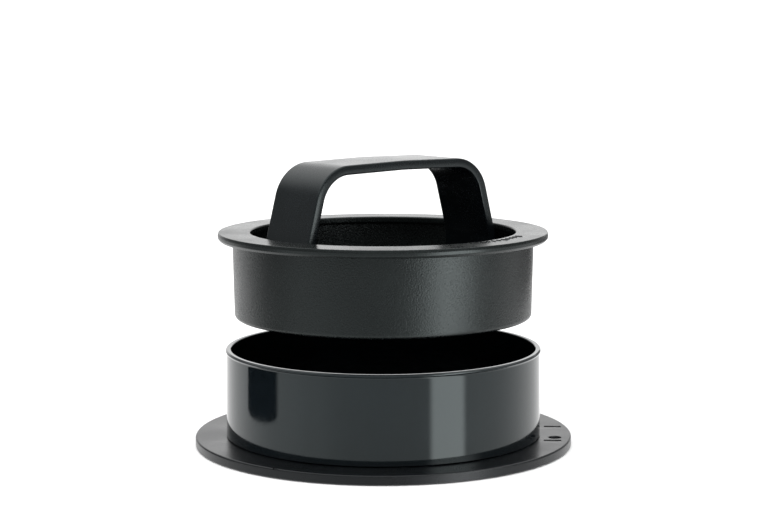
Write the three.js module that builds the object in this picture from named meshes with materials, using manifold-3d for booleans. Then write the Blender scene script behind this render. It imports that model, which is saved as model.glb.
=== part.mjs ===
// Hand patty press of the stuffed-burger kind, five injection mouldings in black plastic.
// Millimetres, +Z up. Origin at the centre of the underside of the base, X along the span of the handle.
import * as THREE from 'three';
import { mergeVertices } from 'three/addons/utils/BufferGeometryUtils.js';
import Module from 'manifold-3d';

const wasm = await Module();
wasm.setup();

// Running gap between pieces that touch.
const GAP = 0.3;
// Flats round one turn of every revolved wall.
const TURN_SEGMENTS = 56;
const ARC_SEGMENTS = 6;

// Base plate: wide flange, shallow hub that plugs into the mould ring, ribbed underside.
const BASE_RADIUS = 70.8;
const BASE_THICKNESS = 3.5;
const BASE_SKIN = 2.0;
const BASE_EDGE = 0.8;
const HUB_RADIUS = 56.9;
const HUB_TOP = 5.8;
const HUB_UNDERSIDE = 3.4;
const FOOT_RING_INNER = 54.2;
const FOOT_RING_OUTER = 58.6;
const RIM_FOOT_INNER = 67.2;
const CENTRE_FOOT_RADIUS = 9;
const UNDER_RIB_WIDTH = 1.8;
const FLANGE_RIB_COUNT = 12;
const HUB_RIB_COUNT = 6;
const FLOOR_RIDGE_RADII = [16, 32, 48];
const RIDGE_WIDTH = 2.4;
const RIDGE_HEIGHT = 0.8;

// Hanging hole through the flange, with a shallow scoop beyond it and another nearer. Each scoop is given by where
// it starts and ends and where its deep side lies, in millimetres along and across the direction SCOOP_ANGLE.
const HANG_HOLE_RADIUS = 2.3;
const HANG_HOLE_CENTRE = 64.9;
const HANG_HOLE_ANGLE = -49;
const SCOOP_ANGLE = -42;
const SCOOPS = [{ start: 61.2, end: 67.6, deepSide: 12.3 }, { start: 60.1, end: 66.5, deepSide: -12.15 }];
const SCOOP_WIDTH = 4.4;
const SCOOP_DEPTH = 0.28;

// Mould ring: polished tube, a little wider at the foot, whose rim flares out into a small lip.
const RING_OUTER = 58.8;
const RING_FOOT_OUTER = 59.15;
const RING_INNER = 57.2;
const RING_FOOT = BASE_THICKNESS + GAP;
const RING_TOP = 36.4;
const LIP_OUTER = 59.3;
const LIP_HEIGHT = 1.7;
const LIP_SLOPE = 0.6;
const LIP_EDGE = 0.6;
const RIM_EDGE = 0.3;

// Outer press: cup with a T-shaped flange, an annular pressing face and an upstanding inner wall.
const PRESS_FLANGE_TOP = 80.25;
const PRESS_FLANGE_THICKNESS = 3.1;
const PRESS_FLANGE_RADIUS = 61.7;
const PRESS_OPENING = 49.6;
const PRESS_LIP = 2.4;
const PRESS_FACE = 48.15;
const CUP_OUTER_TOP = 56.25;
const CUP_OUTER_BOTTOM = 55.6;
const CUP_WALL = 2.4;
const CUP_FILLET = 2.8;
const FLOOR_THICKNESS = 2.4;
const SEAT_INNER = 35.3;
const SEAT_OUTER = 37.5;
const SEAT_TOP = 63.0;
const PRESS_RIDGE_RADII = [41.5, 47.5];

// Bayonet hooks on the seat wall and their arc slots in the disc of the core.
const HOOK_ANGLES = [50, 120, 230, 300];
const HOOK_HALF_ARC = 4;
const HOOK_INNER = 35.5;
const HOOK_STEM_OUTER = 37.2;
const HOOK_HEAD_OUTER = 40.4;
const HOOK_HEAD_HEIGHT = 1.8;
const TWIST = 27;
const SLOT_CLEAR_ARC = 1.6;
const SLOT_INNER = 35.1;
const SLOT_NARROW_OUTER = 37.7;
const SLOT_WIDE_OUTER = 40.9;

// Core press: disc that lies on the seat wall, with a drum that fills the hole of the outer press.
const DISC_RADIUS = 48.8;
const DISC_UNDERSIDE = SEAT_TOP + GAP;
const DISC_TOP = DISC_UNDERSIDE + 2.4;
const DRUM_OUTER = 34.9;
const DRUM_WALL = 2.2;
const CORE_RIDGE_RADII = [16];

// Handle: flat strap bent into a D, its feet clipped into the disc.
const STRAP_WIDTH = 25.6;
const STRAP_THICKNESS = 3.5;
const STRAP_EDGE = 0.9;
const HANDLE_FOOT = DISC_TOP + GAP;
const HANDLE_TOP = 107.2;
const HANDLE_CROWN = 0.7;
const CROWN_BEND = 150;
const KNEE_HEIGHT = 76.5;
const KNEE_SPAN = 45.9;
const LEG_LEAN = 0.27;
const KNEE_BEND = 12;
const SHOULDER_BEND = 15.5;
const FOOT_PAD_DEPTH = 5.2;
const FOOT_PAD_HEIGHT = 3.2;
const CLIP_OFFSET = 7;
const CLIP_WIDTH = 6;
const CLIP_THICKNESS = 2.0;
const CLIP_OUTER = 44.4;
const CLIP_BARB = 1.1;
const CLIP_BARB_HEIGHT = 1.5;

const rad = (degrees) => (degrees * Math.PI) / 180;

// A closed solid from a three.js geometry, with its faces turned outwards.
function solid(geometry) {
  const bare = (geometry.index ? geometry.toNonIndexed() : geometry).clone();
  bare.deleteAttribute('normal');
  bare.deleteAttribute('uv');
  const merged = mergeVertices(bare, 1e-4);
  const corners = merged.index.array;
  const places = merged.attributes.position.array;
  let triangles = [];
  for (let i = 0; i < corners.length; i += 3) {
    const [a, b, c] = [corners[i], corners[i + 1], corners[i + 2]];
    if (a !== b && b !== c && c !== a) triangles.push([a, b, c]);
  }
  const point = (i) => new THREE.Vector3().fromArray(places, 3 * i);
  const volume = triangles.reduce((sum, [a, b, c]) => sum + point(a).dot(point(b).cross(point(c))), 0);
  if (volume < 0) triangles = triangles.map(([a, b, c]) => [a, c, b]);
  const mesh = new wasm.Mesh({
    numProp: 3,
    vertProperties: Float32Array.from(places),
    triVerts: Uint32Array.from(triangles.flat()),
  });
  return new wasm.Manifold(mesh);
}

// Back from a solid to a three.js mesh with its own material.
function pieceMesh(name, body, color, roughness, metalness = 0) {
  const mesh = body.getMesh();
  const geometry = new THREE.BufferGeometry();
  geometry.setAttribute('position', new THREE.BufferAttribute(Float32Array.from(mesh.vertProperties), 3));
  geometry.setIndex(new THREE.BufferAttribute(Uint32Array.from(mesh.triVerts), 1));
  geometry.computeVertexNormals();
  const piece = new THREE.Mesh(geometry, new THREE.MeshStandardMaterial({ color, roughness, metalness }));
  piece.name = name;
  return piece;
}

// Solid of revolution about Z from (radius, height) pairs.
function turned(profile, closed) {
  const points = profile.map(([r, z]) => new THREE.Vector2(r, z));
  if (closed) points.push(points[0].clone());
  const geometry = new THREE.LatheGeometry(points, TURN_SEGMENTS);
  geometry.rotateX(Math.PI / 2);
  return solid(geometry);
}

// Block between two opposite corners.
function block(low, high) {
  const size = high.map((value, i) => value - low[i]);
  const geometry = new THREE.BoxGeometry(...size);
  geometry.translate(...high.map((value, i) => (value + low[i]) / 2));
  return solid(geometry);
}

// Cutter for a scoop in the top of the flange, whose floor rises from its deep side and runs out to nothing.
function scoop({ start, end, deepSide }) {
  const height = 2;
  const width = 1.1 * SCOOP_WIDTH;
  const geometry = new THREE.BoxGeometry(end - start, width, height);
  geometry.translate((start + end) / 2, -width / 2, height / 2);
  geometry.rotateX(-Math.atan2(SCOOP_DEPTH, SCOOP_WIDTH));
  geometry.translate(0, deepSide, BASE_THICKNESS - SCOOP_DEPTH);
  geometry.rotateZ(rad(SCOOP_ANGLE));
  return solid(geometry);
}

// Sector of a ring between two radii, two angles in degrees and two heights.
function sector(inner, outer, from, to, bottom, top) {
  const shape = new THREE.Shape();
  shape.absarc(0, 0, outer, rad(from), rad(to), false);
  shape.absarc(0, 0, inner, rad(to), rad(from), true);
  shape.closePath();
  const geometry = new THREE.ExtrudeGeometry(shape, {
    depth: top - bottom,
    bevelEnabled: false,
    curveSegments: ARC_SEGMENTS,
  });
  geometry.translate(0, 0, bottom);
  return solid(geometry);
}

function turnAboutZ(body, degrees) {
  return body.rotate([0, 0, degrees]);
}

// Profile points of round ridges that stand up from a flat face, or hang down from it with a negative height.
function ridges(radii, face, height) {
  const points = [];
  for (const radius of radii) {
    points.push([radius - RIDGE_WIDTH / 2, face]);
    points.push([radius - RIDGE_WIDTH / 4, face + height]);
    points.push([radius + RIDGE_WIDTH / 4, face + height]);
    points.push([radius + RIDGE_WIDTH / 2, face]);
  }
  return points;
}

function basePlate() {
  const floorTop = ridges(FLOOR_RIDGE_RADII, HUB_TOP, RIDGE_HEIGHT).reverse();
  let body = turned([
    [0, 0],
    [CENTRE_FOOT_RADIUS, 0],
    [CENTRE_FOOT_RADIUS, HUB_UNDERSIDE],
    [FOOT_RING_INNER, HUB_UNDERSIDE],
    [FOOT_RING_INNER, 0],
    [FOOT_RING_OUTER, 0],
    [FOOT_RING_OUTER, BASE_THICKNESS - BASE_SKIN],
    [RIM_FOOT_INNER, BASE_THICKNESS - BASE_SKIN],
    [RIM_FOOT_INNER, 0],
    [BASE_RADIUS - BASE_EDGE, 0],
    [BASE_RADIUS, BASE_EDGE],
    [BASE_RADIUS, BASE_THICKNESS - BASE_EDGE],
    [BASE_RADIUS - BASE_EDGE, BASE_THICKNESS],
    [HUB_RADIUS, BASE_THICKNESS],
    [HUB_RADIUS, HUB_TOP - 0.5],
    [HUB_RADIUS - 0.5, HUB_TOP],
    ...floorTop,
    [0, HUB_TOP],
  ], false);
  const half = UNDER_RIB_WIDTH / 2;
  const flangeRib = block([FOOT_RING_OUTER - 1, -half, 0.2], [RIM_FOOT_INNER + 1, half, BASE_THICKNESS - 0.6]);
  for (let i = 0; i < FLANGE_RIB_COUNT; i += 1) {
    body = body.add(turnAboutZ(flangeRib, (360 * (i + 0.5)) / FLANGE_RIB_COUNT));
  }
  const hubRib = block([CENTRE_FOOT_RADIUS - 1, -half, 0.2], [FOOT_RING_INNER + 1, half, HUB_UNDERSIDE + 0.6]);
  for (let i = 0; i < HUB_RIB_COUNT; i += 1) {
    body = body.add(turnAboutZ(hubRib, (360 * i) / HUB_RIB_COUNT));
  }
  const hole = new THREE.CylinderGeometry(HANG_HOLE_RADIUS, HANG_HOLE_RADIUS, 8, 24);
  hole.rotateX(Math.PI / 2);
  hole.translate(HANG_HOLE_CENTRE, 0, 2);
  body = body.subtract(turnAboutZ(solid(hole), HANG_HOLE_ANGLE));
  for (const place of SCOOPS) body = body.subtract(scoop(place));
  return pieceMesh('base_plate', body, 0x1b1d1e, 0.55);
}

function mouldRing() {
  const body = turned([
    [RING_INNER, RING_FOOT],
    [RING_FOOT_OUTER, RING_FOOT],
    [RING_OUTER, RING_TOP - LIP_HEIGHT],
    [LIP_OUTER, RING_TOP - LIP_HEIGHT + LIP_SLOPE],
    [LIP_OUTER, RING_TOP - LIP_EDGE],
    [LIP_OUTER - LIP_EDGE, RING_TOP],
    [RING_INNER + RIM_EDGE, RING_TOP],
    [RING_INNER, RING_TOP - RIM_EDGE],
  ], true);
  return pieceMesh('mould_ring', body, 0x151819, 0.12);
}

function hook(angle) {
  const from = angle - HOOK_HALF_ARC;
  const to = angle + HOOK_HALF_ARC;
  const headBottom = DISC_TOP + GAP;
  const stem = sector(HOOK_INNER, HOOK_STEM_OUTER, from, to, SEAT_TOP - 1, headBottom + 0.5);
  const head = sector(HOOK_INNER, HOOK_HEAD_OUTER, from, to, headBottom, headBottom + HOOK_HEAD_HEIGHT);
  return stem.add(head);
}

function pressRing() {
  const under = PRESS_FLANGE_TOP - PRESS_FLANGE_THICKNESS;
  const round = PRESS_FLANGE_THICKNESS * 0.28;
  const floorTop = PRESS_FACE + FLOOR_THICKNESS;
  const face = PRESS_FACE + RIDGE_HEIGHT;
  const faceRidges = ridges(PRESS_RIDGE_RADII, face, -RIDGE_HEIGHT).reverse();
  let body = turned([
    [SEAT_INNER, PRESS_FACE],
    [SEAT_INNER, SEAT_TOP],
    [SEAT_OUTER, SEAT_TOP],
    [SEAT_OUTER, floorTop],
    [CUP_OUTER_BOTTOM - CUP_WALL - 1, floorTop],
    [CUP_OUTER_BOTTOM - CUP_WALL, floorTop + 1.4],
    [CUP_OUTER_TOP - CUP_WALL, PRESS_FLANGE_TOP - PRESS_LIP - 0.8],
    [CUP_OUTER_TOP - CUP_WALL - 0.8, PRESS_FLANGE_TOP - PRESS_LIP],
    [PRESS_OPENING, PRESS_FLANGE_TOP - PRESS_LIP],
    [PRESS_OPENING, PRESS_FLANGE_TOP - 0.5],
    [PRESS_OPENING + 0.5, PRESS_FLANGE_TOP],
    [PRESS_FLANGE_RADIUS - round, PRESS_FLANGE_TOP],
    [PRESS_FLANGE_RADIUS, PRESS_FLANGE_TOP - round],
    [PRESS_FLANGE_RADIUS, under + round],
    [PRESS_FLANGE_RADIUS - round, under],
    [CUP_OUTER_TOP + 0.6, under],
    [CUP_OUTER_TOP, under - 0.6],
    [CUP_OUTER_BOTTOM, PRESS_FACE + CUP_FILLET],
    [CUP_OUTER_BOTTOM - 0.29 * CUP_FILLET, PRESS_FACE + 0.29 * CUP_FILLET],
    [CUP_OUTER_BOTTOM - CUP_FILLET, PRESS_FACE],
    [CUP_OUTER_BOTTOM - CUP_FILLET - 0.8, face],
    ...faceRidges,
    [SEAT_INNER + 2.2, face],
    [SEAT_INNER + 1.4, PRESS_FACE],
  ], true);
  for (const angle of HOOK_ANGLES) body = body.add(hook(angle));
  return pieceMesh('press_ring', body, 0x232526, 0.5);
}

// Arc slot for one hook: the head passes through the wide end and travels along the narrow part.
function bayonetSlot(angle) {
  const reach = HOOK_HALF_ARC + SLOT_CLEAR_ARC;
  const bottom = DISC_UNDERSIDE - 1;
  const top = DISC_TOP + 1;
  const narrow = sector(SLOT_INNER, SLOT_NARROW_OUTER, angle - reach, angle + TWIST, bottom, top);
  const wide = sector(SLOT_INNER, SLOT_WIDE_OUTER, angle + TWIST - reach, angle + TWIST + reach, bottom, top);
  return narrow.add(wide);
}

function clipSlot(side, offset) {
  const inner = CLIP_OUTER - CLIP_THICKNESS - GAP;
  const outer = CLIP_OUTER + CLIP_BARB + GAP;
  const low = [side > 0 ? inner : -outer, offset - CLIP_WIDTH / 2 - GAP, DISC_UNDERSIDE - 1];
  const high = [side > 0 ? outer : -inner, offset + CLIP_WIDTH / 2 + GAP, DISC_TOP + 1];
  return block(low, high);
}

function corePress() {
  const floorTop = PRESS_FACE + FLOOR_THICKNESS;
  const face = PRESS_FACE + RIDGE_HEIGHT;
  let body = turned([
    [0, face],
    ...ridges(CORE_RIDGE_RADII, face, -RIDGE_HEIGHT),
    [DRUM_OUTER - 3.2, face],
    [DRUM_OUTER - 2.4, PRESS_FACE],
    [DRUM_OUTER - 0.6, PRESS_FACE],
    [DRUM_OUTER, PRESS_FACE + 0.6],
    [DRUM_OUTER, DISC_UNDERSIDE],
    [DISC_RADIUS - 0.6, DISC_UNDERSIDE],
    [DISC_RADIUS, DISC_UNDERSIDE + 0.6],
    [DISC_RADIUS, DISC_TOP - 0.6],
    [DISC_RADIUS - 0.6, DISC_TOP],
    [DRUM_OUTER - DRUM_WALL + 0.8, DISC_TOP],
    [DRUM_OUTER - DRUM_WALL, DISC_TOP - 0.8],
    [DRUM_OUTER - DRUM_WALL - 0.3, floorTop + 0.8],
    [DRUM_OUTER - DRUM_WALL - 1.1, floorTop],
    [0, floorTop],
  ], false);
  for (const angle of HOOK_ANGLES) body = body.subtract(bayonetSlot(angle));
  for (const side of [-1, 1]) {
    for (const offset of [-CLIP_OFFSET, CLIP_OFFSET]) body = body.subtract(clipSlot(side, offset));
  }
  return pieceMesh('core_press', body, 0x1f2122, 0.5);
}

// Points of a polyline with its inner corners rounded, corner = [x, z, radius].
function roundedLine(corners) {
  const points = [];
  corners.forEach(([x, z, radius], i) => {
    const here = new THREE.Vector2(x, z);
    if (!radius) {
      points.push(here);
      return;
    }
    const before = new THREE.Vector2(...corners[i - 1].slice(0, 2)).sub(here).normalize();
    const after = new THREE.Vector2(...corners[i + 1].slice(0, 2)).sub(here).normalize();
    const halfTurn = Math.acos(THREE.MathUtils.clamp(before.dot(after), -1, 1)) / 2;
    const reach = radius / Math.tan(halfTurn);
    const centre = before.clone().add(after).normalize().multiplyScalar(radius / Math.sin(halfTurn)).add(here);
    const start = before.clone().multiplyScalar(reach).add(here).sub(centre);
    const end = after.clone().multiplyScalar(reach).add(here).sub(centre);
    const turn = Math.atan2(start.cross(end), start.dot(end));
    const steps = Math.max(2, Math.round(Math.abs(turn) / rad(12)));
    for (let k = 0; k <= steps; k += 1) {
      const place = start.clone().rotateAround(new THREE.Vector2(), (turn * k) / steps);
      points.push(place.add(centre));
    }
  });
  return points;
}

// Corners of the strap line, moved in from the outer face by an inset.
function strapLine(inset) {
  const slope = Math.hypot(1, LEG_LEAN);
  const shoulder = KNEE_SPAN - LEG_LEAN * (HANDLE_TOP - HANDLE_CROWN - KNEE_HEIGHT);
  const kneeDrop = inset * (slope - 1) / LEG_LEAN;
  const shoulderX = shoulder - inset * slope + LEG_LEAN * inset;
  const right = [
    [KNEE_SPAN - inset, HANDLE_FOOT, 0],
    [KNEE_SPAN - inset, KNEE_HEIGHT - kneeDrop, KNEE_BEND - inset],
    [shoulderX, HANDLE_TOP - HANDLE_CROWN - inset, SHOULDER_BEND - inset],
  ];
  const left = right.map(([x, z, radius]) => [-x, z, radius]).reverse();
  return roundedLine([...right, [0, HANDLE_TOP - inset, CROWN_BEND], ...left]);
}

function handle() {
  const outline = [...strapLine(0), ...strapLine(STRAP_THICKNESS).reverse()];
  const geometry = new THREE.ExtrudeGeometry(new THREE.Shape(outline), {
    depth: STRAP_WIDTH - 2 * STRAP_EDGE,
    bevelEnabled: true,
    bevelSize: STRAP_EDGE,
    bevelThickness: STRAP_EDGE,
    bevelOffset: -STRAP_EDGE,
    bevelSegments: 2,
  });
  geometry.rotateX(Math.PI / 2);
  geometry.translate(0, STRAP_WIDTH / 2 - STRAP_EDGE, 0);
  let body = solid(geometry);
  const halfWidth = STRAP_WIDTH / 2;
  for (const side of [-1, 1]) {
    const span = (near, far, bottom, top, from, to) => {
      const [a, b] = [side * near, side * far].sort((p, q) => p - q);
      return block([a, from, bottom], [b, to, top]);
    };
    const padInner = KNEE_SPAN - FOOT_PAD_DEPTH;
    body = body.add(span(
      padInner, KNEE_SPAN - 0.6, HANDLE_FOOT, HANDLE_FOOT + FOOT_PAD_HEIGHT, 0.6 - halfWidth, halfWidth - 0.6,
    ));
    const clipInner = CLIP_OUTER - CLIP_THICKNESS;
    const barbTop = DISC_UNDERSIDE - GAP;
    const clipBottom = barbTop - CLIP_BARB_HEIGHT;
    for (const offset of [-CLIP_OFFSET, CLIP_OFFSET]) {
      const from = offset - CLIP_WIDTH / 2;
      const to = offset + CLIP_WIDTH / 2;
      body = body.add(span(clipInner, CLIP_OUTER, clipBottom, HANDLE_FOOT + 1, from, to));
      body = body.add(span(CLIP_OUTER - 0.5, CLIP_OUTER + CLIP_BARB, clipBottom, barbTop, from, to));
    }
  }
  return pieceMesh('handle', body, 0x1a1d1f, 0.42);
}

const press = new THREE.Group();
press.add(basePlate(), mouldRing(), pressRing(), corePress(), handle());
export default press;
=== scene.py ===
"""Looks of a black plastic patty press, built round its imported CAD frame.

Every shape below is given in millimetres from the centre of the base's underside, +Z up and X along the
handle, the same frame and the same sizes as the CAD part. Meshes are written in metres.
"""

import math

import bmesh
import bpy
from mathutils import Matrix, Quaternion, Vector


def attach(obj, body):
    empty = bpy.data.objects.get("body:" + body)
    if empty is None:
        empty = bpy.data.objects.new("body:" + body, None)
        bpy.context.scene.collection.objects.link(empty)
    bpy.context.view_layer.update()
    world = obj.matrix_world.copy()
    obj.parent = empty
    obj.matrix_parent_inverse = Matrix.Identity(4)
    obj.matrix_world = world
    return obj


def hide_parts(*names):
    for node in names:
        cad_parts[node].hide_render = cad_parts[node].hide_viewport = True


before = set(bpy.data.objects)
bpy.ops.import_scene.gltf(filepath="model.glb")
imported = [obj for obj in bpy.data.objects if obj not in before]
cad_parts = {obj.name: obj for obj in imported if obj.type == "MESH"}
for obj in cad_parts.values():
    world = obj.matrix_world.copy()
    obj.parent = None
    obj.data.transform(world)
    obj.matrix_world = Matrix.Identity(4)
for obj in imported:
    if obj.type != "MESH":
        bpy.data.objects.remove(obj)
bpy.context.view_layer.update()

MM = 0.001
TURN_STEPS = 288
SHARP_ANGLE = math.radians(34)
BEVEL_ANGLE = math.radians(40)
BEVEL_SEGMENTS = 3

# Base plate
BASE_RADIUS = 70.8
BASE_THICKNESS = 3.5
BASE_SKIN = 2.0
HUB_RADIUS = 56.9
HUB_TOP = 5.8
HUB_UNDERSIDE = 3.4
FOOT_RING = (54.2, 58.6)
RIM_FOOT_INNER = 67.2
CENTRE_FOOT_RADIUS = 9.0
RIB_WIDTH = 1.8
RIB_FOOT = 0.2
FLANGE_RIBS = 12
HUB_RIBS = 6
RIDGE_WIDTH = 2.4
RIDGE_HEIGHT = 0.8
FLOOR_RIDGES = (16.0, 32.0, 48.0)
GATE_ANGLE = -162.0
GATE_WIDTH = 2.2
GATE_DEPTH = 0.9
GATE_DROP = 0.45

# Hanging hole in the flange, and the scoops beside it. A scoop is given by where it starts and ends along the
# direction SCOOP_ANGLE, and by where its deep side lies across it.
HANG_HOLE_RADIUS = 2.3
HANG_HOLE_CENTRE = 64.9
HANG_HOLE_ANGLE = -49.0
SCOOP_ANGLE = -42.0
SCOOPS = ((61.2, 67.6, 12.3), (60.1, 66.5, -12.15))
SCOOP_WIDTH = 4.4
SCOOP_DEPTH = 0.28
SCOOP_RUN_OUT = 0.4

# Mould ring. The heights of the lip are measured down from the rim.
RING_OUTER = 58.8
RING_FOOT_OUTER = 59.15
RING_INNER = 57.2
RING_FOOT = 3.8
RING_TOP = 36.4
LIP_OUTER = 59.3
LIP_START = 1.4
LIP_WIDEST = 0.8
LIP_SHOULDER = 0.4
RIM_INNER_EDGE = 0.35

# Outer press
FLANGE_TOP = 80.25
FLANGE_UNDER = 77.15
FLANGE_RADIUS = 61.7
OPENING = 49.6
LIP_UNDER = 77.85
PRESS_FACE = 48.15
RIDGED_FACE = PRESS_FACE + RIDGE_HEIGHT
CUP_TOP_RADIUS = 56.25
CUP_BOTTOM_RADIUS = 55.6
CUP_WALL = 2.4
CUP_FILLET = 2.8
FLOOR_THICKNESS = 2.4
FLOOR_TOP = PRESS_FACE + FLOOR_THICKNESS
SEAT = (35.3, 37.5)
SEAT_TOP = 63.0
PRESS_RIDGES = (41.5, 47.5)

# Raised ticks on the flange beside the opening, in place of the lettering there
TICK_COUNT = 9
TICK_START = -88
TICK_SPAN = 26
TICK_INNER = 51.9
TICK_LENGTH = 1.8
LONG_TICK_LENGTH = 2.8
LONG_TICK_EVERY = 4
TICK_WIDTH = 0.8
TICK_HEIGHT = 0.3

# Core press
DISC_RADIUS = 48.8
DISC_UNDER = 63.3
DISC_TOP = 65.7
DRUM_OUTER = 34.9
DRUM_INNER = 32.7
CORE_RIDGES = (16.0,)

# Bayonet: the hooks of the outer press, and the arc slots for them in the disc of the core
HOOK_ANGLES = (50, 120, 230, 300)
HOOK_HALF_ARC = 4.0
HOOK_INNER = 35.5
HOOK_STEM_OUTER = 37.2
HOOK_HEAD_OUTER = 40.4
HOOK_HEAD_HEIGHT = 1.8
HOOK_GAP = 0.3
TWIST = 27.0
SLOT_CLEAR_ARC = 1.6
SLOT_INNER = 35.1
SLOT_NARROW_OUTER = 37.7
SLOT_WIDE_OUTER = 40.9

# Handle
STRAP_WIDTH = 25.6
STRAP_THICKNESS = 3.5
HANDLE_FOOT = 66.0
HANDLE_TOP = 107.2
HANDLE_CROWN = 0.7
CROWN_BEND = 150.0
KNEE_HEIGHT = 76.5
KNEE_SPAN = 45.9
KNEE_BEND = 12
SHOULDER_BEND = 15.5
LEG_LEAN = 0.27
FOOT_PAD_DEPTH = 5.2
FOOT_PAD_INSET = 0.6
FOOT_PAD_HEIGHT = 3.2

# Clips under the handle's feet, and the slots for them in the disc of the core
CLIP_OFFSET = 7.0
CLIP_HALF_WIDTH = 3
CLIP_TONGUE = (42.4, 44.4)
CLIP_BARB = (43.9, 45.5)
CLIP_BOTTOM = 61.5
CLIP_BARB_TOP = 63.0
CLIP_SLOT = (42.1, 45.8)
CLIP_SLOT_HALF_WIDTH = 3.3


# ---------------------------------------------------------------- profiles

def arc_corner(before, corner, after, radius, steps=6):
    """Points of a corner rounded by an arc, which takes less than half of either side next to it."""
    if radius <= 0:
        return [tuple(corner)]
    b = Vector(before) - Vector(corner)
    a = Vector(after) - Vector(corner)
    half = math.acos(max(-1.0, min(1.0, b.normalized().dot(a.normalized())))) / 2
    reach = min(radius / math.tan(half), 0.49 * b.length, 0.49 * a.length)
    radius = reach * math.tan(half)
    b.normalize()
    a.normalize()
    centre = Vector(corner) + (a + b).normalized() * (radius / math.sin(half))
    start = Vector(corner) + b * reach - centre
    end = Vector(corner) + a * reach - centre
    turn = math.atan2(start.x * end.y - start.y * end.x, start.dot(end))
    points = []
    for k in range(steps + 1):
        t = turn * k / steps
        c, s = math.cos(t), math.sin(t)
        points.append((centre.x + c * start.x - s * start.y, centre.y + s * start.x + c * start.y))
    return points


def rounded(points, closed=True):
    """A profile of (x, y) or (x, y, radius) corners with each radius drawn as an arc."""
    count = len(points)
    made = []
    for i, p in enumerate(points):
        radius = p[2] if len(p) > 2 else 0.0
        if not closed and i in (0, count - 1):
            made.append((p[0], p[1]))
            continue
        before, after = points[i - 1][:2], points[(i + 1) % count][:2]
        made += arc_corner(before, p[:2], after, radius)
    return made


def supported(points, closed=True, margin=0.12):
    """Adds a point near each end of every long straight run, so that flats stay flat when shaded smooth."""
    made = []
    count = len(points)
    for i in range(count if closed else count - 1):
        a, b = Vector(points[i]), Vector(points[(i + 1) % count])
        made.append(tuple(a))
        length = (b - a).length
        if length > 6 * margin:
            along = (b - a) / length
            made.append(tuple(a + along * margin))
            made.append(tuple(b - along * margin))
    if not closed:
        made.append(tuple(points[-1]))
    return made


def ridge_points(radii, face, height):
    """Corners of soft round ridges on a flat face, from the inside outwards. A negative height sinks them."""
    points = []
    for radius in radii:
        points.append((radius - RIDGE_WIDTH / 2, face, 0.3))
        points.append((radius - RIDGE_WIDTH / 4, face + height, 0.35))
        points.append((radius + RIDGE_WIDTH / 4, face + height, 0.35))
        points.append((radius + RIDGE_WIDTH / 2, face, 0.3))
    return points


# ---------------------------------------------------------------- mesh building

def mesh_object(name, bm):
    bmesh.ops.remove_doubles(bm, verts=bm.verts, dist=1e-7)
    bmesh.ops.recalc_face_normals(bm, faces=bm.faces)
    mesh = bpy.data.meshes.new(name)
    bm.to_mesh(mesh)
    bm.free()
    thing = bpy.data.objects.new(name, mesh)
    bpy.context.scene.collection.objects.link(thing)
    return thing


def turned(name, profile, closed=True, steps=TURN_STEPS):
    """Solid of revolution about Z. An open profile starts and ends on the axis."""
    points = supported(rounded(profile, closed), closed)
    bm = bmesh.new()
    columns = []
    for r, z in points:
        if r < 1e-6:
            columns.append([bm.verts.new((0, 0, z * MM))] * steps)
            continue
        column = []
        for k in range(steps):
            angle = 2 * math.pi * k / steps
            column.append(bm.verts.new((r * MM * math.cos(angle), r * MM * math.sin(angle), z * MM)))
        columns.append(column)
    count = len(columns)
    for i in range(count if closed else count - 1):
        low, high = columns[i], columns[(i + 1) % count]
        for k in range(steps):
            n = (k + 1) % steps
            corners = []
            for v in (low[k], low[n], high[n], high[k]):
                if v not in corners:
                    corners.append(v)
            if len(corners) > 2:
                bm.faces.new(corners)
    return mesh_object(name, bm)


def soft_block(low, high, edge, angle=0.0):
    """Block between two corners with rounded edges, turned about Z."""
    bm = bmesh.new()
    bmesh.ops.create_cube(bm, size=1.0)
    size = Vector(high) - Vector(low)
    middle = (Vector(high) + Vector(low)) / 2
    for v in bm.verts:
        v.co = Vector((v.co.x * size.x, v.co.y * size.y, v.co.z * size.z)) + middle
    if edge:
        bmesh.ops.bevel(bm, geom=list(bm.edges), offset=edge, segments=BEVEL_SEGMENTS, profile=0.5,
                        affect="EDGES")
    turn = Matrix.Rotation(math.radians(angle), 4, "Z")
    for v in bm.verts:
        v.co = (turn @ v.co) * MM
    return mesh_object("block", bm)


def sector(inner, outer, start, end, bottom, top, edge=0.0, steps=18):
    """Piece of a ring between two radii, two angles in degrees and two heights."""
    bm = bmesh.new()
    rings = []
    for k in range(steps + 1):
        a = math.radians(start + (end - start) * k / steps)
        rings.append([
            bm.verts.new((r * math.cos(a), r * math.sin(a), z))
            for r, z in ((inner, bottom), (outer, bottom), (outer, top), (inner, top))
        ])
    for here, there in zip(rings, rings[1:]):
        for j in range(4):
            bm.faces.new((here[j], here[(j + 1) % 4], there[(j + 1) % 4], there[j]))
    bm.faces.new(rings[0])
    bm.faces.new(rings[-1])
    if edge:
        bmesh.ops.recalc_face_normals(bm, faces=bm.faces)
        sharp = [e for e in bm.edges if len(e.link_faces) == 2 and e.calc_face_angle() > BEVEL_ANGLE]
        bmesh.ops.bevel(bm, geom=sharp, offset=edge, segments=BEVEL_SEGMENTS, profile=0.5, affect="EDGES")
    for v in bm.verts:
        v.co *= MM
    return mesh_object("sector", bm)


def apply_modifiers(thing):
    made = bpy.data.meshes.new_from_object(thing.evaluated_get(bpy.context.evaluated_depsgraph_get()))
    thing.modifiers.clear()
    old = thing.data
    thing.data = made
    made.name = thing.name
    bpy.data.meshes.remove(old)


def use_up(things):
    """Deletes objects that have become part of another one."""
    for thing in things:
        mesh = thing.data
        bpy.data.objects.remove(thing)
        bpy.data.meshes.remove(mesh)


def combine(thing, others, operation):
    """Boolean of thing with each of the others, which are used up."""
    for other in others:
        step = thing.modifiers.new("boolean", "BOOLEAN")
        step.operation = operation
        step.solver = "EXACT"
        step.object = other
    apply_modifiers(thing)
    use_up(others)
    return thing


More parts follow.
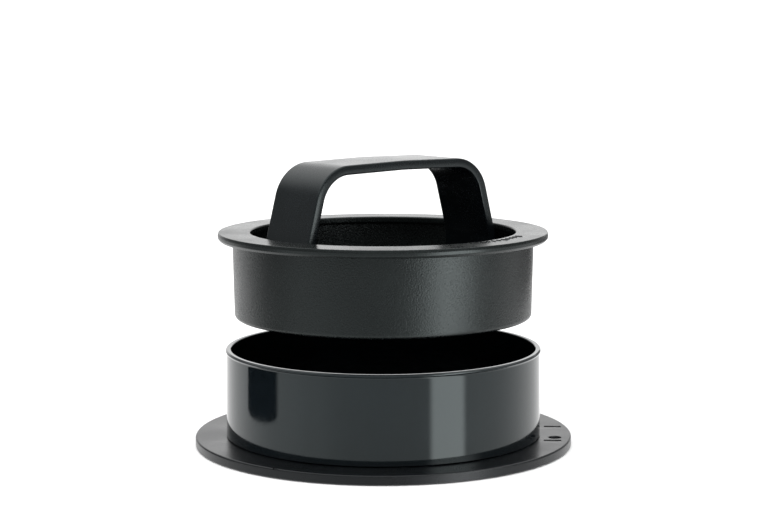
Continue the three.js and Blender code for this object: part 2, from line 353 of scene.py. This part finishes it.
def join(*things):
    """One object from separate closed shells that don't touch each other."""
    bm = bmesh.new()
    for thing in things:
        bm.from_mesh(thing.data)
    made = mesh_object(things[0].name + "_set", bm)
    use_up(things)
    return made


def finished(thing, name, body, node, material):
    """Names a finished piece, shades it and hands it to the frame."""
    thing.name = name
    mesh = thing.data
    mesh.name = name
    bm = bmesh.new()
    bm.from_mesh(mesh)
    bmesh.ops.remove_doubles(bm, verts=bm.verts, dist=2e-7)
    bmesh.ops.dissolve_degenerate(bm, edges=bm.edges, dist=1e-7)
    bm.to_mesh(mesh)
    bm.free()
    mesh.materials.clear()
    mesh.materials.append(material)
    mesh.shade_smooth()
    mesh.set_sharp_from_angle(angle=SHARP_ANGLE)
    step = thing.modifiers.new("flats", "WEIGHTED_NORMAL")
    step.weight = 60
    step.keep_sharp = True
    apply_modifiers(thing)
    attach(thing, body)
    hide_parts(node)


def shifted(thing, x, y):
    """Moves an object's mesh sideways."""
    for v in thing.data.vertices:
        v.co.x += x * MM
        v.co.y += y * MM
    return thing


def shallow_mark(x, y, face, radius, depth, up=True):
    """Cutter for a round ejector mark, sunk by a depth into a flat face that looks up or down."""
    top = face + 1.0 if up else face + depth
    bottom = face - depth if up else face - 1.0
    profile = [(0, bottom), (radius, bottom), (radius, top), (0, top)]
    return shifted(turned("mark", profile, closed=False, steps=48), x, y)


def scoop(start, end, deep_side):
    """Cutter for a shallow scoop in the flange, whose floor rises from its deep side to the surface."""
    slope = SCOOP_DEPTH / SCOOP_WIDTH
    low = (start, deep_side - SCOOP_WIDTH - SCOOP_RUN_OUT, BASE_THICKNESS - SCOOP_DEPTH)
    high = (end, deep_side, BASE_THICKNESS + 2.0)
    cutter = soft_block(low, high, 0.0)
    turn = Matrix.Rotation(math.radians(SCOOP_ANGLE), 4, "Z")
    for v in cutter.data.vertices:
        if v.co.z < BASE_THICKNESS * MM:
            v.co.z += slope * (deep_side * MM - v.co.y)
        v.co = turn @ v.co
    return cutter


def polar(radius, degrees):
    a = math.radians(degrees)
    return radius * math.cos(a), radius * math.sin(a)


# ---------------------------------------------------------------- materials

BLOTCH_SCALE = 45.0
SWELL_SCALE = 28.0
# Most values of a noise lie between these two
NOISE_LOW = 0.3
NOISE_HIGH = 0.7


def plastic(name, color, roughness, spread, specular, grain_size, grain_depth, tint=(0.88, 0.99, 0.99),
            waves=0.0, top_grain=1.0, grain_below=None):
    """Black moulded plastic: spark grain in the bump, blotches in roughness and colour, flow waves.

    Sizes of the grain and the waves are in millimetres. top_grain is the share of the grain's depth left on
    faces that look up or, with grain_below, everywhere above that height.
    """
    material = bpy.data.materials.new(name)
    material.use_nodes = True
    nodes, links = material.node_tree.nodes, material.node_tree.links
    shader = nodes["Principled BSDF"]
    shader.distribution = "GGX"
    shader.inputs["IOR"].default_value = 1.47
    shader.inputs["Specular IOR Level"].default_value = specular
    shader.inputs["Specular Tint"].default_value = (*tint, 1)
    place = nodes.new("ShaderNodeTexCoord")

    def noise(scale, detail, rough=0.6):
        made = nodes.new("ShaderNodeTexNoise")
        made.inputs["Scale"].default_value = scale
        made.inputs["Detail"].default_value = detail
        made.inputs["Roughness"].default_value = rough
        links.new(place.outputs["Object"], made.inputs["Vector"])
        return made.outputs["Fac"]

    def ramp(source, low, high, out_low, out_high):
        made = nodes.new("ShaderNodeMapRange")
        made.inputs["From Min"].default_value = low
        made.inputs["From Max"].default_value = high
        made.inputs["To Min"].default_value = out_low
        made.inputs["To Max"].default_value = out_high
        links.new(source, made.inputs["Value"])
        return made.outputs["Result"]

    blotch = noise(BLOTCH_SCALE, 4.0)
    fine = noise(1.0 / (grain_size * MM), 2.0, 0.55)
    # colour: a slow drift between a darker and a lighter black
    mix = nodes.new("ShaderNodeMix")
    mix.data_type = "RGBA"
    mix.inputs["A"].default_value = (*[c * 0.8 for c in color], 1)
    mix.inputs["B"].default_value = (*[c * 1.25 for c in color], 1)
    links.new(ramp(blotch, NOISE_LOW, NOISE_HIGH, 0.0, 1.0), mix.inputs["Factor"])
    links.new(mix.outputs["Result"], shader.inputs["Base Color"])
    # roughness: blotches from handling and flow, plus the grain itself
    total = nodes.new("ShaderNodeMath")
    total.operation = "ADD"
    handled = ramp(blotch, NOISE_LOW, NOISE_HIGH, roughness - spread, roughness + spread)
    links.new(handled, total.inputs[0])
    links.new(ramp(fine, NOISE_LOW, NOISE_HIGH, -spread, spread), total.inputs[1])
    links.new(total.outputs["Value"], shader.inputs["Roughness"])
    # bump: the grain, and long shallow flow waves under it
    bump = nodes.new("ShaderNodeBump")
    bump.inputs["Strength"].default_value = 1.0
    bump.inputs["Distance"].default_value = grain_depth * MM
    links.new(fine, bump.inputs["Height"])
    # some faces were cut smoother in the mould than the walls: those that look up, or all above a height
    if grain_below:
        height = nodes.new("ShaderNodeSeparateXYZ")
        links.new(place.outputs["Object"], height.inputs["Vector"])
        links.new(ramp(height.outputs["Z"], (grain_below - 0.3) * MM, grain_below * MM, 1.0, top_grain),
                  bump.inputs["Strength"])
    elif top_grain < 1.0:
        facing = nodes.new("ShaderNodeSeparateXYZ")
        links.new(place.outputs["Normal"], facing.inputs["Vector"])
        links.new(ramp(facing.outputs["Z"], 0.6, 0.95, 1.0, top_grain), bump.inputs["Strength"])
    if waves:
        swell = nodes.new("ShaderNodeBump")
        swell.inputs["Distance"].default_value = waves * MM
        links.new(noise(SWELL_SCALE, 1.0, 0.4), swell.inputs["Height"])
        links.new(swell.outputs["Normal"], bump.inputs["Normal"])
    links.new(bump.outputs["Normal"], shader.inputs["Normal"])
    return material


base_plastic = plastic(
    "base_black", color=(0.0032, 0.0038, 0.0046), roughness=0.31, spread=0.04, specular=0.31,
    grain_size=0.5, grain_depth=0.06, tint=(0.94, 0.98, 1.0), top_grain=0.2,
)
ring_plastic = plastic(
    "ring_black_polished", color=(0.004, 0.006, 0.0076), roughness=0.08, spread=0.02, specular=0.42,
    grain_size=1.6, grain_depth=0.0008, waves=0.03,
)
press_plastic = plastic(
    "press_black_grained", color=(0.0038, 0.0049, 0.0049), roughness=0.27, spread=0.05, specular=0.32,
    grain_size=0.5, grain_depth=0.13, top_grain=0.1, grain_below=FLANGE_UNDER,
)
core_plastic = plastic(
    "core_black_grained", color=(0.0038, 0.0046, 0.0048), roughness=0.30, spread=0.05, specular=0.29,
    grain_size=0.5, grain_depth=0.11, top_grain=0.5,
)
handle_plastic = plastic(
    "handle_black_satin", color=(0.003, 0.0042, 0.0052), roughness=0.25, spread=0.04, specular=0.38,
    grain_size=0.6, grain_depth=0.006,
)


# ---------------------------------------------------------------- pieces

def make_base():
    flange_under = BASE_THICKNESS - BASE_SKIN
    body = turned("base_plate", [
        (0, 0.0),
        (CENTRE_FOOT_RADIUS, 0.0, 0.3),
        (CENTRE_FOOT_RADIUS, HUB_UNDERSIDE, 0.4),
        (FOOT_RING[0], HUB_UNDERSIDE, 0.4),
        (FOOT_RING[0], 0.0, 0.3),
        (FOOT_RING[1], 0.0, 0.3),
        (FOOT_RING[1], flange_under, 0.4),
        (RIM_FOOT_INNER, flange_under, 0.4),
        (RIM_FOOT_INNER, 0.0, 0.3),
        (BASE_RADIUS, 0.0, 0.4),
        (BASE_RADIUS, BASE_THICKNESS, 0.6),
        (HUB_RADIUS, BASE_THICKNESS, 0.25),
        (HUB_RADIUS, HUB_TOP, 0.5),
        *reversed(ridge_points(FLOOR_RIDGES, HUB_TOP, RIDGE_HEIGHT)),
        (0, HUB_TOP),
    ], closed=False)
    half = RIB_WIDTH / 2
    ribs = []
    for i in range(FLANGE_RIBS):
        low = (FOOT_RING[1] - 1, -half, RIB_FOOT)
        high = (RIM_FOOT_INNER + 1, half, BASE_THICKNESS - 0.6)
        ribs.append(soft_block(low, high, 0.3, 360 * (i + 0.5) / FLANGE_RIBS))
    for i in range(HUB_RIBS):
        low = (CENTRE_FOOT_RADIUS - 1, -half, RIB_FOOT)
        high = (FOOT_RING[0] + 1, half, HUB_UNDERSIDE + 0.6)
        ribs.append(soft_block(low, high, 0.3, 360 * i / HUB_RIBS))
    combine(body, [join(*ribs)], "UNION")
    # the hole has a small bevel at the top and a wider mouth below
    r = HANG_HOLE_RADIUS
    hole = turned("hole", [
        (0, -1.0),
        (r + 1.0, -1.0),
        (r + 1.0, flange_under - 0.3),
        (r, flange_under + 0.2),
        (r, BASE_THICKNESS - 0.35),
        (r + 0.12, BASE_THICKNESS - 0.12),
        (r + 0.4, BASE_THICKNESS + 0.05),
        (r + 0.4, BASE_THICKNESS + 1.0),
        (0, BASE_THICKNESS + 1.0),
    ], closed=False, steps=64)
    cuts = [shifted(hole, *polar(HANG_HOLE_CENTRE, HANG_HOLE_ANGLE))]
    for start, end, deep_side in SCOOPS:
        cuts.append(scoop(start, end, deep_side))
    # gate nick on the top edge, and ejector marks on the underside and the floor
    low = (BASE_RADIUS - GATE_DEPTH, -GATE_WIDTH / 2, BASE_THICKNESS - GATE_DROP)
    high = (BASE_RADIUS + 1, GATE_WIDTH / 2, BASE_THICKNESS + 1)
    cuts.append(soft_block(low, high, 0.2, GATE_ANGLE))
    for k in range(6):
        cuts.append(shallow_mark(*polar(24.0, 60 * k + 30), HUB_UNDERSIDE, radius=2.4, depth=0.2, up=False))
    for angle in (20, 110, 200, 290):
        cuts.append(shallow_mark(*polar(40.0, angle), HUB_TOP, radius=2.6, depth=0.12))
    cuts.append(shallow_mark(0, 0, HUB_TOP, radius=3.2, depth=0.25))
    combine(body, cuts, "DIFFERENCE")
    finished(body, "base_plate_fine", "base", "base_plate", base_plastic)


def make_ring():
    # the rim: a lip whose outer side leans in above its widest line, and a land that falls slightly inwards
    body = turned("mould_ring", [
        (RING_INNER, RING_FOOT, 0.3),
        (RING_FOOT_OUTER, RING_FOOT, 0.2),
        (RING_OUTER, RING_TOP - LIP_START, 1.0),
        (LIP_OUTER, RING_TOP - LIP_WIDEST, 0.3),
        (LIP_OUTER - 0.12, RING_TOP - LIP_SHOULDER, 0.4),
        (LIP_OUTER - 0.6, RING_TOP, 0.25),
        (RING_INNER + 0.2, RING_TOP - 0.07, 0.15),
        (RING_INNER, RING_TOP - RIM_INNER_EDGE, 0.2),
    ])
    finished(body, "mould_ring_fine", "mould", "mould_ring", ring_plastic)


def make_hook(angle):
    start, end = angle - HOOK_HALF_ARC, angle + HOOK_HALF_ARC
    bottom = DISC_TOP + HOOK_GAP
    stem = sector(HOOK_INNER, HOOK_STEM_OUTER, start, end, SEAT_TOP - 1, bottom + 0.5)
    head = sector(HOOK_INNER, HOOK_HEAD_OUTER, start, end, bottom, bottom + HOOK_HEAD_HEIGHT, edge=0.35)
    return combine(stem, [head], "UNION")


def make_tick(k):
    length = TICK_LENGTH if k % LONG_TICK_EVERY else LONG_TICK_LENGTH
    low = (TICK_INNER, -TICK_WIDTH / 2, FLANGE_TOP - 0.5)
    high = (TICK_INNER + length, TICK_WIDTH / 2, FLANGE_TOP + TICK_HEIGHT)
    return soft_block(low, high, 0.15, TICK_START + TICK_SPAN * k / (TICK_COUNT - 1))


def make_press_ring():
    body = turned("press_ring", [
        (SEAT[0], PRESS_FACE, 0.3),
        (SEAT[0], SEAT_TOP, 0.3),
        (SEAT[1], SEAT_TOP, 0.3),
        (SEAT[1], FLOOR_TOP, 0.5),
        (CUP_BOTTOM_RADIUS - CUP_WALL - 0.2, FLOOR_TOP, 1.5),
        (CUP_TOP_RADIUS - CUP_WALL, LIP_UNDER, 1.0),
        (OPENING, LIP_UNDER, 0.4),
        (OPENING, FLANGE_TOP, 0.6),
        (FLANGE_RADIUS - 0.3, FLANGE_TOP, 0.25),
        (FLANGE_RADIUS, FLANGE_TOP - 1.0, 1.5),
        (FLANGE_RADIUS - 0.05, FLANGE_TOP - 2.1, 0.6),
        (FLANGE_RADIUS - 0.9, FLANGE_UNDER, 0.5),
        (CUP_TOP_RADIUS, FLANGE_UNDER, 0.7),
        (CUP_BOTTOM_RADIUS, PRESS_FACE, CUP_FILLET),
        (CUP_BOTTOM_RADIUS - CUP_FILLET - 0.2, PRESS_FACE, 0.3),
        (CUP_BOTTOM_RADIUS - CUP_FILLET - 1.0, RIDGED_FACE, 0.3),
        *reversed(ridge_points(PRESS_RIDGES, RIDGED_FACE, -RIDGE_HEIGHT)),
        (SEAT[0] + 2.2, RIDGED_FACE, 0.3),
        (SEAT[0] + 1.4, PRESS_FACE, 0.3),
    ])
    combine(body, [join(*[make_hook(angle) for angle in HOOK_ANGLES])], "UNION")
    combine(body, [join(*[make_tick(k) for k in range(TICK_COUNT)])], "UNION")
    finished(body, "press_ring_fine", "press", "press_ring", press_plastic)


def make_core():
    body = turned("core_press", [
        (0, RIDGED_FACE),
        *ridge_points(CORE_RIDGES, RIDGED_FACE, -RIDGE_HEIGHT),
        (DRUM_OUTER - 3.2, RIDGED_FACE, 0.3),
        (DRUM_OUTER - 2.4, PRESS_FACE, 0.3),
        (DRUM_OUTER, PRESS_FACE, 0.7),
        (DRUM_OUTER, DISC_UNDER, 0.3),
        (DISC_RADIUS, DISC_UNDER, 0.7),
        (DISC_RADIUS, DISC_TOP, 0.7),
        (DRUM_INNER, DISC_TOP, 0.8),
        (DRUM_INNER - 0.3, FLOOR_TOP, 1.2),
        (0, FLOOR_TOP),
    ], closed=False)
    bottom, top = DISC_UNDER - 1, DISC_TOP + 1
    cuts = []
    # a hook's slot is narrow along the twist and wide where the head of the hook passes
    reach = HOOK_HALF_ARC + SLOT_CLEAR_ARC
    for angle in HOOK_ANGLES:
        free = angle + TWIST
        narrow = sector(SLOT_INNER, SLOT_NARROW_OUTER, angle - reach, free, bottom, top, steps=40)
        wide = sector(SLOT_INNER, SLOT_WIDE_OUTER, free - reach, free + reach, bottom, top)
        cuts.append(combine(narrow, [wide], "UNION"))
    for side in (-1, 1):
        near, far = sorted((side * CLIP_SLOT[0], side * CLIP_SLOT[1]))
        for offset in (-CLIP_OFFSET, CLIP_OFFSET):
            low = (near, offset - CLIP_SLOT_HALF_WIDTH, bottom)
            high = (far, offset + CLIP_SLOT_HALF_WIDTH, top)
            cuts.append(soft_block(low, high, 0.3))
    for k in range(4):
        cuts.append(shallow_mark(*polar(22.0, 90 * k + 45), FLOOR_TOP, radius=2.2, depth=0.12))
        cuts.append(shallow_mark(*polar(45.2, 90 * k + 45), DISC_TOP, radius=1.8, depth=0.12))
    cuts.append(shallow_mark(0, 0, FLOOR_TOP, radius=2.6, depth=0.3))
    combine(body, [join(*cuts)], "DIFFERENCE")
    finished(body, "core_press_fine", "core", "core_press", core_plastic)


def strap_line():
    """Middle line of the strap as (x, z) points, from the foot on +X over the top to the foot on -X."""
    inset = STRAP_THICKNESS / 2
    slope = math.hypot(1, LEG_LEAN)
    shoulder = KNEE_SPAN - LEG_LEAN * (HANDLE_TOP - HANDLE_CROWN - KNEE_HEIGHT)
    knee_drop = inset * (slope - 1) / LEG_LEAN
    shoulder_x = shoulder - inset * slope + LEG_LEAN * inset
    # the ends are (x, z), and the bends between them (x, z, radius, steps round the arc)
    right = [
        (KNEE_SPAN - inset, HANDLE_FOOT),
        (KNEE_SPAN - inset, KNEE_HEIGHT - knee_drop, KNEE_BEND - inset, 8),
        (shoulder_x, HANDLE_TOP - HANDLE_CROWN - inset, SHOULDER_BEND - inset, 28),
    ]
    left = [(-p[0], *p[1:]) for p in reversed(right)]
    corners = [*right, (0.0, HANDLE_TOP - inset, CROWN_BEND, 8), *left]
    points = [corners[0]]
    for before, (x, z, radius, steps), after in zip(corners, corners[1:-1], corners[2:]):
        points += arc_corner(before[:2], (x, z), after[:2], radius, steps)
    points.append(corners[-1])
    return supported(points, closed=False, margin=0.5)


def strap_section():
    """Section of the strap as (out, across) points: flat faces, soft edges, slightly crowned sides."""
    half, wide = STRAP_THICKNESS / 2, STRAP_WIDTH / 2
    side = [(-half, -wide + 0.2, 0.6), (0.0, -wide, 6.0), (half, -wide + 0.35, 0.6)]
    face = [(half, -wide * 0.35), (half, wide * 0.35)]
    points = rounded([*side, *face, *[(p[0], -p[1], p[2]) for p in reversed(side)]])
    return supported(points, margin=0.2)


def swept_strap():
    line = [Vector(p) for p in strap_line()]
    section = strap_section()
    bm = bmesh.new()
    rings = []
    for i, p in enumerate(line):
        ahead, behind = line[min(i + 1, len(line) - 1)], line[max(i - 1, 0)]
        tangent = (ahead - behind).normalized()
        if i in (0, len(line) - 1):
            tangent = Vector((0, 1 if i == 0 else -1))
        out = Vector((tangent.y, -tangent.x))
        ring = []
        for o, w in section:
            q = p + out * o
            ring.append(bm.verts.new((q.x * MM, w * MM, q.y * MM)))
        rings.append(ring)
    count = len(section)
    for here, there in zip(rings, rings[1:]):
        for j in range(count):
            bm.faces.new((here[j], here[(j + 1) % count], there[(j + 1) % count], there[j]))
    bm.faces.new(rings[0])
    bm.faces.new(rings[-1])
    return mesh_object("handle", bm)


def spanned(side, near, far, bottom, top, start, end, edge):
    """Block between two distances from the middle, on the +X side for 1 and on the -X side for -1."""
    a, b = sorted((side * near, side * far))
    return soft_block((a, start, bottom), (b, end, top), edge)


def make_foot(side):
    """Pad inside one end of the strap, with two clips that go through the disc."""
    half = STRAP_WIDTH / 2 - FOOT_PAD_INSET
    pad = spanned(side, KNEE_SPAN - FOOT_PAD_DEPTH, KNEE_SPAN - FOOT_PAD_INSET,
                  HANDLE_FOOT, HANDLE_FOOT + FOOT_PAD_HEIGHT, -half, half, 0.6)
    clips = []
    for offset in (-CLIP_OFFSET, CLIP_OFFSET):
        start, end = offset - CLIP_HALF_WIDTH, offset + CLIP_HALF_WIDTH
        tongue = spanned(side, *CLIP_TONGUE, CLIP_BOTTOM, HANDLE_FOOT + 1.5, start, end, 0.25)
        barb = spanned(side, *CLIP_BARB, CLIP_BOTTOM, CLIP_BARB_TOP, start, end, 0.25)
        clips.append(combine(tongue, [barb], "UNION"))
    return combine(pad, [join(*clips)], "UNION")


def make_handle():
    body = swept_strap()
    combine(body, [join(make_foot(-1), make_foot(1))], "UNION")
    finished(body, "handle_fine", "core", "handle", handle_plastic)


make_base()
make_ring()
make_press_ring()
make_core()
make_handle()


# ---------------------------------------------------------------- studio

# The camera and the studio are placed in metres and degrees, in a frame turned with the camera.
CAMERA_TURN = -40.0
CAMERA_DISTANCE = 0.7234
CAMERA_SIDE = 0.0033
CAMERA_HEIGHT = 0.1615
CAMERA_PITCH = 7.28
CAMERA_PAN = -0.1
CAMERA_ROLL = -0.09
CAMERA_LENS = 90.16
SENSOR_WIDTH = 36.0

FLOOR_RADIUS = 12.0
FLOOR_DROP = 0.0002
FLOOR_WHITE = 0.93
KEY_POWER = 0.8
KEY_SPREAD = 70


def studio_direction(right, away, up):
    """A point given right of, beyond and above the press as the camera sees it, in the part's frame."""
    return Matrix.Rotation(math.radians(CAMERA_TURN), 3, "Z") @ Vector((right, away, up))


def make_camera():
    data = bpy.data.cameras.new("camera")
    data.lens = CAMERA_LENS
    data.sensor_width = SENSOR_WIDTH
    data.clip_start, data.clip_end = 0.01, 50.0
    camera = bpy.data.objects.new("camera", data)
    bpy.context.scene.collection.objects.link(camera)
    pitch, pan = math.radians(CAMERA_PITCH), math.radians(CAMERA_PAN)
    forward = Vector((math.sin(pan) * math.cos(pitch), math.cos(pan) * math.cos(pitch), -math.sin(pitch)))
    camera.location = studio_direction(CAMERA_SIDE, -CAMERA_DISTANCE, CAMERA_HEIGHT)
    aim = studio_direction(*forward).to_track_quat("-Z", "Y")
    camera.rotation_euler = (aim @ Quaternion((0, 0, 1), math.radians(CAMERA_ROLL))).to_euler()
    bpy.context.scene.camera = camera


def floor_material():
    material = bpy.data.materials.new("floor_white")
    material.use_nodes = True
    shader = material.node_tree.nodes["Principled BSDF"]
    shader.inputs["Base Color"].default_value = (FLOOR_WHITE, FLOOR_WHITE, FLOOR_WHITE, 1)
    shader.inputs["Roughness"].default_value = 0.9
    return material


def glow_material(name, strength, width, fades):
    """Even light across a card, fading out over the given distances at its two upright edges."""
    material = bpy.data.materials.new(name)
    material.use_nodes = True
    nodes, links = material.node_tree.nodes, material.node_tree.links
    nodes.remove(nodes["Principled BSDF"])
    glow = nodes.new("ShaderNodeEmission")
    glow.inputs["Strength"].default_value = strength
    place = nodes.new("ShaderNodeTexCoord")
    split = nodes.new("ShaderNodeSeparateXYZ")
    links.new(place.outputs["Object"], split.inputs["Vector"])
    ends = []
    for edge, fade in ((-width / 2, fades[0]), (width / 2, -fades[1])):
        ramp = nodes.new("ShaderNodeMapRange")
        ramp.interpolation_type = "SMOOTHSTEP"
        ramp.inputs["From Min"].default_value = edge
        ramp.inputs["From Max"].default_value = edge + fade
        links.new(split.outputs["X"], ramp.inputs["Value"])
        ends.append(ramp.outputs["Result"])
    both = nodes.new("ShaderNodeMath")
    both.operation = "MULTIPLY"
    links.new(ends[0], both.inputs[0])
    links.new(ends[1], both.inputs[1])
    mix = nodes.new("ShaderNodeMixShader")
    links.new(both.outputs["Value"], mix.inputs["Fac"])
    links.new(nodes.new("ShaderNodeBsdfTransparent").outputs["BSDF"], mix.inputs[1])
    links.new(glow.outputs["Emission"], mix.inputs[2])
    links.new(mix.outputs["Shader"], nodes["Material Output"].inputs["Surface"])
    material.cycles.emission_sampling = "NONE"
    return material


def card(name, centre, facing, width, height, strength, fades, corner=(0.0, 0.0)):
    """Upright studio card that only shows in reflections, with its lower corners rounded to an ellipse."""
    squash = corner[1] / corner[0] if corner[0] else 1.0
    outline = rounded([
        (-width / 2, -height / 2 / squash, corner[0]),
        (width / 2, -height / 2 / squash, corner[0]),
        (width / 2, height / 2 / squash),
        (-width / 2, height / 2 / squash),
    ])
    bm = bmesh.new()
    bm.faces.new([bm.verts.new((x, 0, z * squash)) for x, z in outline])
    thing = mesh_object(name, bm)
    thing.data.materials.append(glow_material(name + "_glow", strength, width, fades))
    thing.location = centre
    thing.rotation_euler = Vector((facing.x, facing.y, 0)).to_track_quat("Y", "Z").to_euler()
    thing.visible_camera = False
    thing.visible_diffuse = False
    thing.visible_shadow = False
    thing.visible_transmission = False


# Brightness of the room, in bands from the floor to the ceiling. Each band takes over between two heights
# (the sine of the elevation), and holds pairs of the cosine of the angle from the camera's side and the
# level there.
ROOM = (
    (None, (
        (-1.0, 1.25), (-0.78, 1.38), (-0.5, 1.48), (0.0, 1.42),
        (0.35, 1.48), (0.62, 1.38), (0.94, 1.08), (1.0, 1.03),
    )),
    ((-0.17, -0.12), (
        (-1.0, 1.2), (-0.78, 0.75), (-0.5, 1.0), (0.0, 0.85), (0.55, 1.1), (0.9, 0.85), (1.0, 0.8),
    )),
    ((-0.03, 0.05), (
        (-1.0, 1.5), (-0.96, 1.4), (-0.86, 0.6), (-0.7, 0.3), (0.5, 0.41), (1.0, 0.41),
    )),
    ((0.1, 0.22), (
        (-1.0, 1.62), (-0.93, 1.4), (-0.8, 0.45), (-0.6, 0.28), (0.3, 0.46), (1.0, 0.46),
    )),
    ((0.35, 0.75), ((-1.0, 1.9), (1.0, 1.9))),
)


def make_room():
    """World light: bright below, above and beyond the press, darker at eye level on the other three sides."""
    world = bpy.data.worlds.new("studio")
    bpy.context.scene.world = world
    world.use_nodes = True
    nodes, links = world.node_tree.nodes, world.node_tree.links
    place = nodes.new("ShaderNodeTexCoord")
    toward = nodes.new("ShaderNodeVectorMath")
    toward.operation = "DOT_PRODUCT"
    toward.inputs[1].default_value = studio_direction(0, -1, 0)
    links.new(place.outputs["Generated"], toward.inputs[0])
    shift = nodes.new("ShaderNodeMapRange")
    shift.inputs["From Min"].default_value = -1.0
    links.new(toward.outputs["Value"], shift.inputs["Value"])
    split = nodes.new("ShaderNodeSeparateXYZ")
    links.new(place.outputs["Generated"], split.inputs["Vector"])

    def round_room(levels):
        """One band as a ramp of half of each level, which the strength of the background doubles again."""
        ramp = nodes.new("ShaderNodeValToRGB")
        ramp.color_ramp.interpolation = "EASE"
        stops = ramp.color_ramp.elements
        while len(stops) < len(levels):
            stops.new(0.5)
        for stop, (cosine, level) in zip(stops, levels):
            stop.position = (cosine + 1) / 2
            stop.color = (level / 2, level / 2, level / 2, 1)
        links.new(shift.outputs["Result"], ramp.inputs["Fac"])
        return ramp.outputs["Color"]

    light = None
    for heights, levels in ROOM:
        band = round_room(levels)
        if light is None:
            light = band
            continue
        rise = nodes.new("ShaderNodeMapRange")
        rise.interpolation_type = "SMOOTHSTEP"
        rise.inputs["From Min"].default_value, rise.inputs["From Max"].default_value = heights
        links.new(split.outputs["Z"], rise.inputs["Value"])
        mix = nodes.new("ShaderNodeMix")
        mix.data_type = "RGBA"
        links.new(rise.outputs["Result"], mix.inputs["Factor"])
        links.new(light, mix.inputs["A"])
        links.new(band, mix.inputs["B"])
        light = mix.outputs["Result"]
    links.new(light, nodes["Background"].inputs["Color"])
    nodes["Background"].inputs["Strength"].default_value = 2.0


def make_floor():
    bm = bmesh.new()
    bmesh.ops.create_circle(bm, cap_ends=True, segments=96, radius=FLOOR_RADIUS)
    floor = mesh_object("floor", bm)
    floor.location.z = -FLOOR_DROP
    floor.data.materials.append(floor_material())
    floor.visible_glossy = False


def make_cards():
    to_right, to_left = studio_direction(1, 0, 0), studio_direction(-1, 0, 0)
    # a strip light to the right of the camera, which the polished wall shows as one upright band
    strip = studio_direction(0.88, -0.84, -0.74)
    card("strip_card", strip, -strip, 0.66, 1.72, 4.9, (0.12, 0.12))
    # a softer light close in front of it, high enough to widen the sheen on the upper press only
    soft = studio_direction(0.125, -0.125, 0.05)
    card("soft_card", soft, -soft, 0.13, 0.05, 7.2, (0.03, 0.05))
    # a small one above that, for the edges of the handle
    edge = studio_direction(0.143, -0.139, 0.096)
    card("edge_card", edge, -edge, 0.07, 0.03, 6.0, (0.02, 0.02))
    # a small black card close on the left, low enough to show in the mould ring only
    dark = studio_direction(-0.127, -0.0285, 0.011)
    card("dark_card", dark, to_right, 0.068, 0.024, 0.0, (0.003, 0.009), corner=(0.024, 0.0048))
    # grey flags at both sides of the upper press, above what the mould ring shows
    left, right = studio_direction(-0.13, -0.03, 0.056), studio_direction(0.13, 0.12, 0.056)
    card("flag_card_left", left, to_right, 0.11, 0.05, 0.6, (0.03, 0.03))
    card("flag_card_right", right, to_left, 0.24, 0.05, 0.3, (0.06, 0.03))


def make_key():
    data = bpy.data.lights.new("key", "SUN")
    data.angle = math.radians(KEY_SPREAD)
    data.energy = KEY_POWER
    key = bpy.data.objects.new("key", data)
    bpy.context.scene.collection.objects.link(key)
    key.rotation_euler = (-studio_direction(-0.3, -0.35, 1.0)).to_track_quat("-Z", "Y").to_euler()
    key.visible_glossy = False


make_camera()
bpy.context.scene.view_settings.view_transform = "Standard"
make_room()
make_floor()
make_cards()
make_key()
